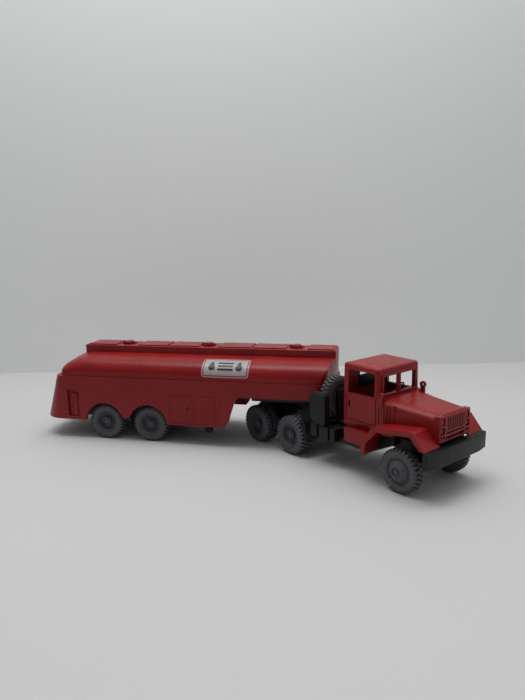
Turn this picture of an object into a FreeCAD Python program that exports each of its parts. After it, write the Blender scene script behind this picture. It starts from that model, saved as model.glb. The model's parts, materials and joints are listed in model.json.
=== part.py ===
import FreeCAD, Part
import math
import os

# A 1:87 moulded plastic toy: a three-axle hard-top tractor coupled to a streamlined tank semi-trailer.
# Millimetres.  Row frame: origin on the ground below the kingpin, +X forward along the trailer,
# +Y to its left, +Z up.  Trailer pieces are drawn with x measured forward from the rear trailer
# axle, tractor pieces with x measured forward from the front axle, and both are then placed.

Vector = FreeCAD.Vector

# ---- articulation
TRAILER_AXLE_TO_KINGPIN = 66.8
FRONT_AXLE_TO_KINGPIN = 49.4
HEADING_AT_REST = -36.75            # tractor heading against the trailer, degrees about +Z

# ---- running fits
SHAFT_R = 0.70
RUNNING_CLEARANCE = 0.05            # radial, every shaft in its bearing and the kingpin in its plate
KINGPIN_R = 1.20
DUAL_BORE_DEPTH = 4.0               # how far a shaft enters a wheel
SINGLE_BORE_DEPTH = 2.0

# ---- trailer body
TRAILER_HALF_WIDTH = 14.3
TRAILER_FRONT_X = 78.9
TRAILER_NOSE_BOW_R = 36.0
TRAILER_NOSE_CORNER_R = 4.0
SKIRT_BOTTOM_Z = 6.6
SKIRT_TOP_Z = 22.1
SKIRT_WALL = 1.0
TAIL_X_TOP = -18.4
TAIL_X_BOTTOM = -25.5
TAIL_CORNER_R_TOP = 3.0
TAIL_CORNER_R_BOTTOM = 9.0
ARCH_R = 7.15
ARCH_CENTRE_Z = 5.8
ARCH_TOOTH_Z = 8.5                  # underside of the skirt between the two wheel arches
NECK_Z = 17.1                       # underside of the gooseneck
NICHE_X0 = -13.7
NICHE_X1 = -9.6
NICHE_Z0 = 7.8
NICHE_Z1 = 17.3

# ---- trailer running gear
TRAILER_TYRE_R = 6.10
TRAILER_AXLE_SPACING = 16.4
TRAILER_DUAL_WIDTH = 5.6
TRAILER_TRACK_OUTER = 13.4          # outer face of the trailer's outer tyres
TRAILER_FLOOR_Z = 13.4
LEG_X0 = 34.8
LEG_X1 = 36.5
LEG_Y0 = 7.8
LEG_Y1 = 8.9

# ---- tank
TANK_HALF_WIDTH = 13.8
TANK_SHOULDER_R = 4.6
TANK_CROWN_R = 40.0
TANK_TOP_Z = 29.3
TANK_WALL = 0.9
TANK_TAIL_X = -18.2
TANK_DOME_START_X = -6.5
TANK_CORNER_START_X = -14.0
DOME_HEIGHT_POWER = 1.85
DOME_WIDTH_POWER = 2.6
SEAM_X = (-5.5, 14.0, 33.5, 53.0, 72.5)
SEAM_WIDTH = 0.35
SEAM_RISE = 0.05

# ---- fill box along the crown
CATWALK_X0 = -11.0
CATWALK_X1 = 78.4
CATWALK_HALF_WIDTH = 4.5
CATWALK_TOP_Z = 31.45
TREAD_PLATE_RISE = 0.35
TREAD_PLATE_INSET = 0.6
TREAD_PLATES = ((-9.9, 0.6), (9.2, 19.8), (20.7, 31.4), (38.3, 49.9), (50.6, 61.7), (69.1, 77.7))
MANHOLE_X = (4.1, 34.1, 64.8)
MANHOLE_R = 2.3
MANHOLE_TOP_Z = 31.95

# ---- tractor running gear
TRACTOR_TYRE_R = 6.20
MID_AXLE_X = -40.85
REAR_AXLE_X = -57.3
FRONT_TRACK_OUTER = 12.6
FRONT_TYRE_WIDTH = 3.0
FRONT_HUB_RISE = 0.8                # how far the front hubs stand out beyond the tyre
REAR_TRACK_OUTER = 14.3
REAR_DUAL_WIDTH = 5.6
DUAL_GAP = 0.35
RAIL_Y0 = 3.4
RAIL_Y1 = 4.8
RAIL_Z0 = 9.3
RAIL_Z1 = 12.3
FRAME_REAR_X = -65.0
FRAME_FRONT_X = 7.2
DECK_HALF_WIDTH = 5.5
DECK_RISE_Z = 13.1                  # top of the raised deck behind the coupling plate
FIFTH_WHEEL_TOP_Z = 15.5

# ---- cab
CAB_X0 = -22.6
CAB_X1 = -9.8
CAB_HALF_WIDTH = 9.4
CAB_FLOOR_Z = 13.5
CAB_BELT_Z = 23.4
CAB_ROOF_Z = 31.6
ROOF_FALL = 0.35                    # the hard top drops this much from its rear edge to its front edge
ROOF_HALF_WIDTH = 9.1
PANEL = 0.9                         # cab wall thickness
HOOD_FRONT_X = 8.0
HOOD_REAR_X = -8.4
HOOD_HALF_FRONT = 7.0
HOOD_HALF_REAR = 8.6
HOOD_FRONT_Z = 22.0
HOOD_REAR_Z = 23.4
COWL_X0 = -7.6                      # the cab's sides draw in from here
COWL_X1 = -4.6                      # to here
COWL_HALF = 8.4
GRILLE_Z0 = 14.9
GRILLE_Z1 = 21.8
FENDER_OUTER_Y = 13.5
SILL_OUTER_Y = 12.0
SILL_REAR_X = -19.6
REAR_WINDOW_HALF = 2.8
REAR_WINDOW_Z0 = 23.8
REAR_WINDOW_Z1 = 28.3

# ---- steering column, from the dash up towards the driver
COLUMN_FOOT = Vector(CAB_X1 - 1.4, 4.4, 21.6)
COLUMN_LEAN = Vector(-0.72, 0, 0.69)
COLUMN_LENGTH = 3.2

# ---- what hangs on the tractor frame
BUMPER_FRONT_X = 10.5
BUMPER_HALF_WIDTH = 13.4
BUMPER_Z0 = 9.25
BUMPER_Z1 = 13.95
SPARE_R = 6.2
SPARE_WIDTH = 3.2
SPARE_REAR_X = -31.0
SPARE_Y = -4.9
SPARE_Z = 19.9
MUD_GUARD_OUTER_Y = 13.6
MUD_GUARD_SHEET = 0.5


# ------------------------------------------------------------------ drawing helpers
def box(x0, x1, y0, y1, z0, z1):
    return Part.makeBox(x1 - x0, y1 - y0, z1 - z0, Vector(x0, y0, z0))


def cylinder_x(radius, x0, x1, y, z):
    return Part.makeCylinder(radius, x1 - x0, Vector(x0, y, z), Vector(1, 0, 0))


def cylinder_y(radius, y0, y1, x, z):
    return Part.makeCylinder(radius, y1 - y0, Vector(x, y0, z), Vector(0, 1, 0))


def cylinder_z(radius, z0, z1, x, y):
    return Part.makeCylinder(radius, z1 - z0, Vector(x, y, z0), Vector(0, 0, 1))


def side_prism(points, y0, y1):
    """Polygon given as (x, z), pulled from y0 to y1."""
    outline = [Vector(x, y0, z) for x, z in points]
    face = Part.Face(Part.makePolygon(outline + outline[:1]))
    return face.extrude(Vector(0, y1 - y0, 0))


def plan_prism(points, z0, z1):
    """Polygon given as (x, y), pulled from z0 to z1."""
    outline = [Vector(x, y, z0) for x, y in points]
    face = Part.Face(Part.makePolygon(outline + outline[:1]))
    return face.extrude(Vector(0, 0, z1 - z0))


def mirrored(shape):
    return shape.mirror(Vector(0, 0, 0), Vector(0, 1, 0))


def on_both_sides(shape):
    return [shape, mirrored(shape)]


def fused(shapes):
    body = shapes[0]
    for extra in shapes[1:]:
        body = body.fuse(extra)
    return body.removeSplitter()


def cut_all(body, tools):
    return body.cut(Part.makeCompound(tools))


def rounded(body, radius, wanted):
    """Fillet the edges that the test accepts; the test gets the edge's middle and its direction."""
    chosen = []
    for edge in body.Edges:
        if isinstance(edge.Curve, Part.Line):
            middle = edge.valueAt((edge.FirstParameter + edge.LastParameter) / 2)
            direction = edge.tangentAt(edge.FirstParameter)
            if wanted(middle, direction):
                chosen.append(edge)
    return body.makeFillet(radius, chosen)


def arc(start, middle, end):
    return Part.Arc(start, middle, end).toShape()


def line(start, end):
    return Part.makeLine(start, end)


# ------------------------------------------------------------------ trailer outlines
def trailer_plan_wire(z, tail_x, tail_r, half_width, front_x):
    """Closed outline seen from above: bowed nose with round corners, straight sides, rounded tail."""
    nose_r = TRAILER_NOSE_CORNER_R
    bow = (half_width - nose_r) ** 2 / (2 * TRAILER_NOSE_BOW_R)
    nose_y = half_width - nose_r
    slope = math.atan2(nose_y, TRAILER_NOSE_BOW_R)
    halfway = math.sin(math.radians(45))
    centre = Vector(front_x - bow - nose_r * math.cos(slope), nose_y, z)
    side_start = Vector(centre.x, half_width, z)
    corner_middle = centre + Vector(nose_r * halfway, nose_r * halfway, 0)
    nose_end = centre + Vector(nose_r, 0, 0)
    nose_tip = Vector(nose_end.x + bow, 0, z)
    tail_inside = tail_r * (1 - halfway)
    tail_middle = Vector(tail_x + tail_inside, half_width - tail_inside, z)
    tail_side = Vector(tail_x + tail_r, half_width, z)
    tail_end = Vector(tail_x, half_width - tail_r, z)

    def flip(point):
        return Vector(point.x, -point.y, point.z)

    edges = [
        arc(flip(nose_end), nose_tip, nose_end),
        arc(nose_end, corner_middle, side_start),
        line(side_start, tail_side),
        arc(tail_side, tail_middle, tail_end),
        line(tail_end, flip(tail_end)),
        arc(flip(tail_end), flip(tail_middle), flip(tail_side)),
        line(flip(tail_side), flip(side_start)),
        arc(flip(side_start), flip(corner_middle), flip(nose_end)),
    ]
    return Part.Wire(edges)


def skirt_block(inset, z0, z1):
    """Raked trailer body between two heights, drawn in by inset all round."""
    def wire_at(z):
        share = (z - SKIRT_BOTTOM_Z) / (SKIRT_TOP_Z - SKIRT_BOTTOM_Z)
        tail_x = TAIL_X_BOTTOM + share * (TAIL_X_TOP - TAIL_X_BOTTOM)
        tail_r = TAIL_CORNER_R_BOTTOM + share * (TAIL_CORNER_R_TOP - TAIL_CORNER_R_BOTTOM)
        return trailer_plan_wire(z, tail_x + inset, tail_r - inset / 2,
                                 TRAILER_HALF_WIDTH - inset, TRAILER_FRONT_X - inset)
    return Part.makeLoft([wire_at(z0), wire_at(z1)], True, True)


def skirt_side_profile():
    """Side outline of the skirt: two wheel arches, rear and middle panels, slope and gooseneck."""
    z0 = SKIRT_BOTTOM_Z
    half = math.sqrt(ARCH_R ** 2 - (z0 - ARCH_CENTRE_Z) ** 2)
    tooth = math.sqrt(ARCH_R ** 2 - (ARCH_TOOTH_Z - ARCH_CENTRE_Z) ** 2)
    front_arch_x = TRAILER_AXLE_SPACING - 0.4
    tooth_drop = 0.55
    beyond = 5.0
    far_back = TAIL_X_BOTTOM - beyond
    far_front = TRAILER_FRONT_X + beyond
    pull = 2 * TRAILER_HALF_WIDTH + beyond

    def point(x, z):
        return Vector(x, -pull / 2, z)

    def arch_top(x):
        return point(x, ARCH_CENTRE_Z + ARCH_R)

    tail_fold = [(far_back, z0 + 1.0), (TAIL_X_BOTTOM + 0.5, z0 + 1.0), (TAIL_X_BOTTOM + 0.7, z0 + 0.45),
                 (TAIL_X_BOTTOM + 1.15, z0)]
    edges = [
        line(point(*tail_fold[-1]), point(-half, z0)),
        arc(point(-half, z0), arch_top(0.0), point(tooth, ARCH_TOOTH_Z)),
        arc(point(tooth, ARCH_TOOTH_Z), point(front_arch_x / 2, ARCH_TOOTH_Z - tooth_drop),
            point(front_arch_x - tooth, ARCH_TOOTH_Z)),
        arc(point(front_arch_x - tooth, ARCH_TOOTH_Z), arch_top(front_arch_x),
            point(front_arch_x + half, z0)),
    ]
    slope = [(43.0, z0), (44.3, z0 + 1.7), (46.9, NECK_Z - 1.1), (48.4, NECK_Z)]
    corners = [(front_arch_x + half, z0)] + slope + [(far_front, NECK_Z), (far_front, SKIRT_TOP_Z),
                                                     (far_back, SKIRT_TOP_Z)] + tail_fold
    for (xa, za), (xb, zb) in zip(corners, corners[1:]):
        edges.append(line(point(xa, za), point(xb, zb)))
    return Part.Face(Part.Wire(edges)).extrude(Vector(0, pull, 0))


def tank_section_points(x, grow, width_share=1.0, height_share=1.0):
    """Points over the tank at x, from right foot to left foot: side, round shoulder, low crown."""
    crown_z = TANK_TOP_Z - TANK_CROWN_R
    cy = TANK_HALF_WIDTH - TANK_SHOULDER_R
    cz = crown_z + math.sqrt((TANK_CROWN_R - TANK_SHOULDER_R) ** 2 - cy ** 2)
    lean = math.atan2(cz - crown_z, cy)
    r = TANK_SHOULDER_R + grow
    crown_r = TANK_CROWN_R + grow
    half = [(TANK_HALF_WIDTH + grow, SKIRT_TOP_Z), (TANK_HALF_WIDTH + grow, (SKIRT_TOP_Z + cz) / 2)]
    shoulder_steps, crown_steps = 8, 6
    for step in range(shoulder_steps):
        angle = lean * step / shoulder_steps
        half.append((cy + r * math.cos(angle), cz + r * math.sin(angle)))
    for step in range(crown_steps):
        angle = lean + (math.pi / 2 - lean) * step / crown_steps
        half.append((crown_r * math.cos(angle), crown_z + crown_r * math.sin(angle)))
    right = [(-y, z) for y, z in half]
    left = half[::-1]
    outline = right + [(0.0, crown_z + crown_r)] + left
    return [Vector(x, y * width_share, SKIRT_TOP_Z + (z - SKIRT_TOP_Z) * height_share) for y, z in outline]


def tank_section_curve(x, grow):
    curve = Part.BSplineCurve()
    curve.interpolate(tank_section_points(x, grow))
    return curve.toShape()


def tank_section_face(x, grow):
    points = tank_section_points(x, grow)
    return Part.Face(Part.Wire([tank_section_curve(x, grow), line(points[-1], points[0])]))


def tank_dome_skin(grow):
    """Tail of the tank: one smooth skin that drops and draws in along two rounded curves."""
    tail = TANK_TAIL_X - grow
    height_run = TANK_DOME_START_X - tail
    width_run = TANK_CORNER_START_X - tail
    steps = 16
    rows = []
    for step in range(steps):
        x = TANK_DOME_START_X - height_run * math.sin(math.pi / 2 * step / steps)
        height_gone = (TANK_DOME_START_X - x) / height_run
        width_gone = max(0.0, (TANK_CORNER_START_X - x) / width_run)
        height_share = (1 - height_gone ** DOME_HEIGHT_POWER) ** (1 / DOME_HEIGHT_POWER)
        width_share = (1 - width_gone ** DOME_WIDTH_POWER) ** (1 / DOME_WIDTH_POWER)
        rows.append(tank_section_points(x, grow, width_share, height_share))
    skin = Part.BSplineSurface()
    skin.interpolate(rows)
    return skin.toShape()


def edges_where(shape, test):
    return [edge for edge in shape.Edges if all(test(p) for p in edge.discretize(5))]


def tank_block(grow):
    """Solid tank: dome and straight run share one arch; the nose is bowed like the skirt below."""
    skin = tank_dome_skin(grow)
    near = 1e-4
    low_x = min(vertex.X for vertex in skin.Vertexes)
    front_arch = edges_where(skin, lambda p: abs(p.x - TANK_DOME_START_X) < near)
    back_arch = edges_where(skin, lambda p: abs(p.x - low_x) < near)
    feet = edges_where(skin, lambda p: abs(p.z - SKIRT_TOP_Z) < near)
    run = Vector(TRAILER_FRONT_X + 10 - TANK_DOME_START_X, 0, 0)
    barrel_skin = front_arch[0].extrude(run)
    barrel_feet = edges_where(barrel_skin, lambda p: abs(p.z - SKIRT_TOP_Z) < near)
    nose_arch = edges_where(barrel_skin, lambda p: abs(p.x - TANK_DOME_START_X - run.x) < near)

    def closing_line(arch):
        ends = arch[0].Vertexes
        return line(ends[0].Point, ends[-1].Point)

    back = closing_line(back_arch)
    nose = closing_line(nose_arch)
    floor_edges = Part.__sortEdges__(feet + barrel_feet + [back, nose])
    flats = [Part.Face(Part.Wire(nose_arch + [nose])), Part.Face(Part.Wire(back_arch + [back])),
             Part.Face(Part.Wire(floor_edges))]
    shell = Part.Shell([skin, barrel_skin] + flats)
    shell.sewShape()
    block = Part.Solid(Part.Shell(shell.Faces))
    nose_inset = 0.5 - grow
    plan = trailer_plan_wire(SKIRT_TOP_Z - 1, TANK_TAIL_X - 5, TAIL_CORNER_R_TOP, TRAILER_HALF_WIDTH,
                             TRAILER_FRONT_X - nose_inset)
    plan = Part.Face(plan).extrude(Vector(0, 0, TANK_TOP_Z + 5 - SKIRT_TOP_Z))
    return block.common(plan)


# ------------------------------------------------------------------ trailer pieces
def tank_shell():
    """Hollow tank with its seam bands."""
    body = tank_block(0.0)
    for ring in seam_rings():
        body = body.fuse(ring)
    return body.removeSplitter().cut(tank_block(-TANK_WALL))


def catwalk_box():
    """Fill box on the crown, with six raised tread plates and three flat pads for the manhole lids."""
    root = 3.0
    edge_r = 0.35
    plate_half = CATWALK_HALF_WIDTH - TREAD_PLATE_INSET
    plate_top = CATWALK_TOP_Z + TREAD_PLATE_RISE
    block = box(CATWALK_X0, CATWALK_X1, -CATWALK_HALF_WIDTH, CATWALK_HALF_WIDTH,
                TANK_TOP_Z - root, CATWALK_TOP_Z)
    block = rounded(block, edge_r, lambda p, d: abs(d.z) > 0.9 or p.z > CATWALK_TOP_Z - 0.01)
    plates = []
    for x0, x1 in TREAD_PLATES:
        plate = box(x0, x1, -plate_half, plate_half, CATWALK_TOP_Z - 0.3, plate_top)
        plates.append(rounded(plate, 0.12, lambda p, d: p.z > plate_top - 0.01))
    block = fused([block] + plates)
    pads = [manhole_prism(x, MANHOLE_R + 0.45, CATWALK_TOP_Z - 0.2, plate_top + 1) for x in MANHOLE_X]
    return cut_all(cut_all(block, pads).cut(tank_block(0.0)), seam_rings())


def seam_rings():
    """Low raised bands round the tank at its seams, as solid slices of the tank section."""
    width = Vector(SEAM_WIDTH, 0, 0)
    return [tank_section_face(x - SEAM_WIDTH / 2, SEAM_RISE).extrude(width) for x in SEAM_X]


def manhole_prism(x, radius, z0, z1):
    """Eight-sided plate, flats facing forward and sideways."""
    sides = 8
    points = []
    for step in range(sides):
        angle = 2 * math.pi * (step + 0.5) / sides
        points.append((x + radius * math.cos(angle), radius * math.sin(angle)))
    return plan_prism(points, z0, z1)


def manhole_lids():
    """Three lids, each a plate with a raised cap and a hinge tab behind it."""
    cap_r = 1.6
    cap_rise = 0.4
    tab_reach = 2.3
    tab_half = 0.8
    plate_top = MANHOLE_TOP_Z
    lids = []
    for x in MANHOLE_X:
        plate = manhole_prism(x, MANHOLE_R, CATWALK_TOP_Z - 0.2, plate_top)
        cap = cylinder_z(cap_r, plate_top, plate_top + cap_rise, x, 0)
        tab = box(x - tab_reach, x - cap_r + 0.1, -tab_half, tab_half, plate_top, plate_top + cap_rise)
        lids.append(fused([plate, cap, tab]))
    return Part.makeCompound(lids)


def frame_groove(x0, x1, z0, z1, width, depth):
    """Rectangular outline sunk into the right-hand skirt side."""
    y0 = -TRAILER_HALF_WIDTH - 1
    y1 = -TRAILER_HALF_WIDTH + depth
    outer = box(x0, x1, y0, y1, z0, z1)
    inner = box(x0 + width, x1 - width, y0 - 1, y1 + 1, z0 + width, z1 - width)
    return outer.cut(inner)


def tail_niche():
    """Right-hand tail niche: its backing, the slot that is cut, and the upright bar that stands in it."""
    skin_y = -TRAILER_HALF_WIDTH
    margin = 0.6
    slot_depth = 0.8
    bar_top = NICHE_Z1 - 1.2
    backing = box(NICHE_X0 - margin, NICHE_X1 + margin, skin_y + 0.5, skin_y + slot_depth + 0.9,
                  NICHE_Z0 - margin, NICHE_Z1 + margin)
    slot = box(NICHE_X0, NICHE_X1, skin_y - 1, skin_y + slot_depth, NICHE_Z0, NICHE_Z1)
    bar = box(NICHE_X0 + 1.75, NICHE_X1 - 0.5, skin_y + 0.3, skin_y + slot_depth + 0.1,
              NICHE_Z0 - 0.1, bar_top)
    bar = rounded(bar, 0.3, lambda p, d: p.y < skin_y + 0.31)
    return backing, slot, bar


def skirt_body():
    """Skirted trailer body, open below, with arches, cabinet doors and tail niches."""
    outer = skirt_block(0.0, SKIRT_BOTTOM_Z, SKIRT_TOP_Z)
    inner = skirt_block(SKIRT_WALL, SKIRT_BOTTOM_Z, SKIRT_TOP_Z - SKIRT_WALL)
    body = outer.cut(inner).common(skirt_side_profile())
    skin_y = -TRAILER_HALF_WIDTH
    door_z0 = 7.3
    door_z1 = 17.1
    groove_width = 0.25
    groove_depth = 0.12
    backing, slot, bar = tail_niche()
    latch = cylinder_y(0.6, skin_y - 1, skin_y + 0.35, 30.8, 12.6)
    cuts = [slot, latch]
    for x0, x1 in ((24.2, 32.3), (33.0, 40.5)):
        cuts.append(frame_groove(x0, x1, door_z0, door_z1, groove_width, groove_depth))
    stud = cylinder_y(0.45, skin_y - 0.2, skin_y + 0.3, 41.9, 14.6)
    for turn in (lambda shape: shape, mirrored):
        body = body.fuse(turn(backing))
        body = cut_all(body, [turn(tool) for tool in cuts])
        for extra in (bar, stud):
            body = body.fuse(turn(extra))
    return body.removeSplitter()


def trailer_chassis():
    """Black floor moulding: spine, wheel wells, two bearing blocks and the landing gear guides."""
    spine_half = 4.5
    well_y0 = 6.9
    well_y1 = 7.4
    floor_half = TRAILER_HALF_WIDTH - SKIRT_WALL - 0.1
    floor_top = TRAILER_FLOOR_Z + 0.8
    floor_rear_x = NICHE_X1 + 0.9
    spine_front_x = 39.6
    floor_front_x = 44.0
    parts = [
        box(-15.0, spine_front_x, -spine_half, spine_half, 9.0, TRAILER_FLOOR_Z + 0.1),
        box(floor_rear_x, floor_front_x, -floor_half, floor_half, TRAILER_FLOOR_Z, floor_top),
        box(-15.0, floor_rear_x + 0.1, -well_y1, well_y1, TRAILER_FLOOR_Z, floor_top),
    ]
    parts += on_both_sides(box(-15.0, 25.5, well_y0, well_y1, 6.3, TRAILER_FLOOR_Z + 0.1))
    for x in (0.0, TRAILER_AXLE_SPACING):
        parts.append(box(x - 2.2, x + 2.2, -well_y1, well_y1, TRAILER_TYRE_R - 1.9, TRAILER_FLOOR_Z + 0.1))
    parts += on_both_sides(box(LEG_X0 - 1.1, LEG_X1 + 1.1, LEG_Y0 - 0.7, LEG_Y1 + 0.7, 8.2,
                               TRAILER_FLOOR_Z + 0.1))
    holes = [cylinder_y(SHAFT_R + RUNNING_CLEARANCE, -well_y1 - 1, well_y1 + 1, x, TRAILER_TYRE_R)
             for x in (0.0, TRAILER_AXLE_SPACING)]
    holes += on_both_sides(box(LEG_X0 - 0.1, LEG_X1 + 0.1, LEG_Y0 - 0.1, LEG_Y1 + 0.1, 8.0, 13.3))
    return cut_all(fused(parts), holes)


def rubbing_plate():
    """Flat plate that closes the gooseneck from below and carries the kingpin."""
    inset = 2.4
    bottom = FIFTH_WHEEL_TOP_Z + 0.1
    top = NECK_Z + 0.6
    rear_x = 51.9
    outline = trailer_plan_wire(bottom, rear_x, 0.5, TRAILER_HALF_WIDTH - inset, TRAILER_FRONT_X - inset)
    plate = Part.Face(outline).extrude(Vector(0, 0, top - bottom))
    apron_half = TRAILER_HALF_WIDTH - SKIRT_WALL - 0.1
    apron = box(47.4, rear_x + 1, -apron_half, apron_half, NECK_Z + 0.1, top)
    hole = cylinder_z(KINGPIN_R, bottom - 1, top + 1, TRAILER_AXLE_TO_KINGPIN, 0)
    return plate.fuse(apron).removeSplitter().cut(hole)


def kingpin():
    """Headed steel pin with a chamfered tip, pressed into the rubbing plate from above."""
    x = TRAILER_AXLE_TO_KINGPIN
    tip_z = 12.6
    chamfer = 0.4
    pin = cylinder_z(KINGPIN_R, tip_z + chamfer, NECK_Z + 0.6, x, 0)
    head = cylinder_z(KINGPIN_R + 0.8, NECK_Z + 0.6, NECK_Z + 1.2, x, 0)
    tip = Part.makeCone(KINGPIN_R - chamfer, KINGPIN_R, chamfer, Vector(x, 0, tip_z), Vector(0, 0, 1))
    return fused([pin, head, tip])


def landing_gear():
    """Two legs with pads, joined by a cross bar; drops out of the chassis guides."""
    foot_z = 2.95
    foot_top = foot_z + 1.3
    foot = box(LEG_X0 - 0.5, LEG_X1 + 0.5, LEG_Y0 - 0.4, LEG_Y1 + 0.4, foot_z, foot_top)
    foot = rounded(foot, 0.25, lambda p, d: abs(d.z) > 0.9)
    leg = box(LEG_X0, LEG_X1, LEG_Y0, LEG_Y1, foot_top - 0.1, 13.0)
    bar = box(LEG_X0 + 0.4, LEG_X1 - 0.4, -LEG_Y0 - 0.2, LEG_Y0 + 0.2, 5.4, 6.4)
    return fused(on_both_sides(foot) + on_both_sides(leg) + [bar])


# ------------------------------------------------------------------ wheels
def tyre_outline(outer, inner, radius):
    """Tread and square shoulders of one tyre between two faces, as (y, radius)."""
    shoulder = 0.3
    return [(outer, radius - shoulder), (outer + shoulder, radius),
            (inner - shoulder, radius), (inner, radius - shoulder)]


def wheel(radius, width, tyres, outer_y, bore_depth, rim_r, hub_rise):
    """One road wheel (one or two tyres) whose outer face is at -outer_y, axis on y.

    hub_rise is how far the hub stands out beyond the tyre's face; a negative one is sunk in a dish."""
    gap = DUAL_GAP if tyres == 2 else 0.0
    tread = (width - gap) / tyres
    face_y = -outer_y
    inner_y = face_y + width
    hub_r = 1.45
    hub_y = face_y - hub_rise
    dish_y = face_y + 0.35 if hub_rise > 0 else hub_y + 0.4
    points = [(hub_y, 0.0), (hub_y, hub_r), (dish_y, rim_r - 0.5), (face_y + 0.1, rim_r - 0.1),
              (face_y, rim_r)]
    for index in range(tyres):
        outer = face_y + index * (tread + gap)
        points += tyre_outline(outer, outer + tread, radius)
        if index < tyres - 1:
            points += [(outer + tread, rim_r + 0.5), (outer + tread + gap, rim_r + 0.5)]
    recess = 0.8
    points += [(inner_y, rim_r), (inner_y - recess, rim_r - 0.3), (inner_y - recess, hub_r + 0.25),
               (inner_y, hub_r), (inner_y, 0.0)]
    outline = [Vector(0, y, r) for y, r in points]
    face = Part.Face(Part.makePolygon(outline + outline[:1]))
    body = face.revolve(Vector(0, 0, 0), Vector(0, 1, 0), 360)
    return body.cut(cylinder_y(SHAFT_R, inner_y - bore_depth, inner_y + 1, 0, 0))


def placed_wheel(shape, x, radius, side):
    body = shape.copy() if side < 0 else mirrored(shape)
    body.translate(Vector(x, 0, radius))
    return body


def shaft(x, radius, half_length):
    return cylinder_y(SHAFT_R, -half_length, half_length, x, radius)


# ------------------------------------------------------------------ tractor pieces
def hood_section(x, half_width, top_z):
    """Closed outline across the hood: upright sides, bevelled shoulders, flat top."""
    low = GRILLE_Z0 - 0.3
    half = [(half_width, low), (half_width, top_z - 1.6), (half_width - 0.45, top_z - 0.85),
            (half_width - 1.2, top_z - 0.3), (half_width - 2.3, top_z)]
    points = half + [(-y, z) for y, z in reversed(half)]
    outline = [Vector(x, y, z) for y, z in points]
    return Part.makePolygon(outline + outline[:1])


def hood_block(inset):
    rear = hood_section(HOOD_REAR_X - 2.0 + inset, HOOD_HALF_REAR + 0.2 - inset, HOOD_REAR_Z - inset)
    front = hood_section(HOOD_FRONT_X - inset * 1.5, HOOD_HALF_FRONT - inset, HOOD_FRONT_Z - inset)
    return Part.makeLoft([rear, front], True, True)


def fender():
    """Right front fender: a folded strip from the sill over the wheel and down to the bumper."""
    folds = [(-12.3, 7.9), (-11.9, 12.1), (-7.6, 17.0), (4.9, 18.4), (8.6, BUMPER_Z1 + 0.05)]
    inside = [(7.4, BUMPER_Z1 + 0.05), (4.4, 17.3), (-7.0, 16.0), (-10.9, 11.8), (-11.3, 7.9)]
    lip_inside = [(7.1, BUMPER_Z1 + 0.05), (4.2, 16.9), (-6.7, 15.6), (-10.4, 11.6), (-10.8, 7.9)]
    outer_folds = folds[1:4]
    fold_r = 0.9
    lip_y = -FENDER_OUTER_Y + 0.7

    def at_outer_fold(p, d):
        return abs(d.y) > 0.9 and (round(p.x, 3), round(p.z, 3)) in outer_folds

    def folded(outline, y0, y1):
        return rounded(side_prism(outline, y0, y1), fold_r, at_outer_fold)

    strip = folded(folds + inside, lip_y, -HOOD_HALF_FRONT + 0.3)
    lip = folded(folds + lip_inside, -FENDER_OUTER_Y, lip_y)
    return strip.fuse(lip).removeSplitter()


def cab_hollows():
    """The open spaces inside the cab tub and under the hood."""
    w = CAB_HALF_WIDTH
    bulkhead_x = CAB_X1 + 0.9
    hood_end_x = HOOD_FRONT_X - PANEL
    half = HOOD_HALF_FRONT - PANEL
    tub = box(CAB_X0 + PANEL, CAB_X1 - 0.2, -w + PANEL, w - PANEL, CAB_FLOOR_Z - 1, CAB_BELT_Z + 1)
    bay = hood_block(PANEL).common(box(bulkhead_x, hood_end_x, -20, 20, 0, 40))
    return [tub, bay.fuse(box(bulkhead_x, hood_end_x, -half, half, CAB_FLOOR_Z - 1.5, 20.5))]


def cowl_side_y(x):
    """How far out the right-hand side stands at x, where the cab narrows towards the hood."""
    share = max(0.0, (x - COWL_X0) / (COWL_X1 - COWL_X0))
    return -CAB_HALF_WIDTH + share * (CAB_HALF_WIDTH - COWL_HALF)


def cab_side_cuts():
    """Right-hand side: the door's outline, its handle slot, the wedge under it and the cowl's slots."""
    y0 = -CAB_HALF_WIDTH - 1
    groove = 0.2
    y1 = -CAB_HALF_WIDTH + groove
    door_x0 = -21.3
    door_x1 = -10.2
    door_z = 15.5
    outer = box(door_x0, door_x1, y0, y1, door_z, CAB_BELT_Z + 1)
    inner = box(door_x0 + 0.25, door_x1 - 0.25, y0 - 1, y1 + 1, door_z + 0.25, CAB_BELT_Z + 2)
    handle = box(-20.4, -19.6, y0, y1 + 0.25, 19.0, 21.2)
    wedge = side_prism([(-21.8, CAB_FLOOR_Z - 1), (-21.8, 13.6), (-12.6, 15.3), (-12.6, CAB_FLOOR_Z - 1)],
                       y0, -CAB_HALF_WIDTH + 0.45)
    slots = [box(x, x + 0.3, y0, cowl_side_y(x) + groove, 16.2, 21.8) for x in (-9.4, -7.55, -6.75, -5.95)]
    return [outer.cut(inner), handle, wedge] + slots


def mirror_eye():
    """Right-hand bracket beside the windscreen: a pillar that ends in an eye."""
    x0 = -9.1
    x1 = -7.8
    eye_z = 24.6
    y0 = -CAB_HALF_WIDTH - 0.5
    y1 = -CAB_HALF_WIDTH + 0.2
    middle = (x0 + x1) / 2
    pillar = box(x0, x1, y0, y1, 21.4, eye_z)
    eye = cylinder_y(0.95, y0, y1, middle, eye_z)
    return pillar.fuse(eye).cut(cylinder_y(0.38, y0 - 1, y1 + 1, middle, eye_z))


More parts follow.
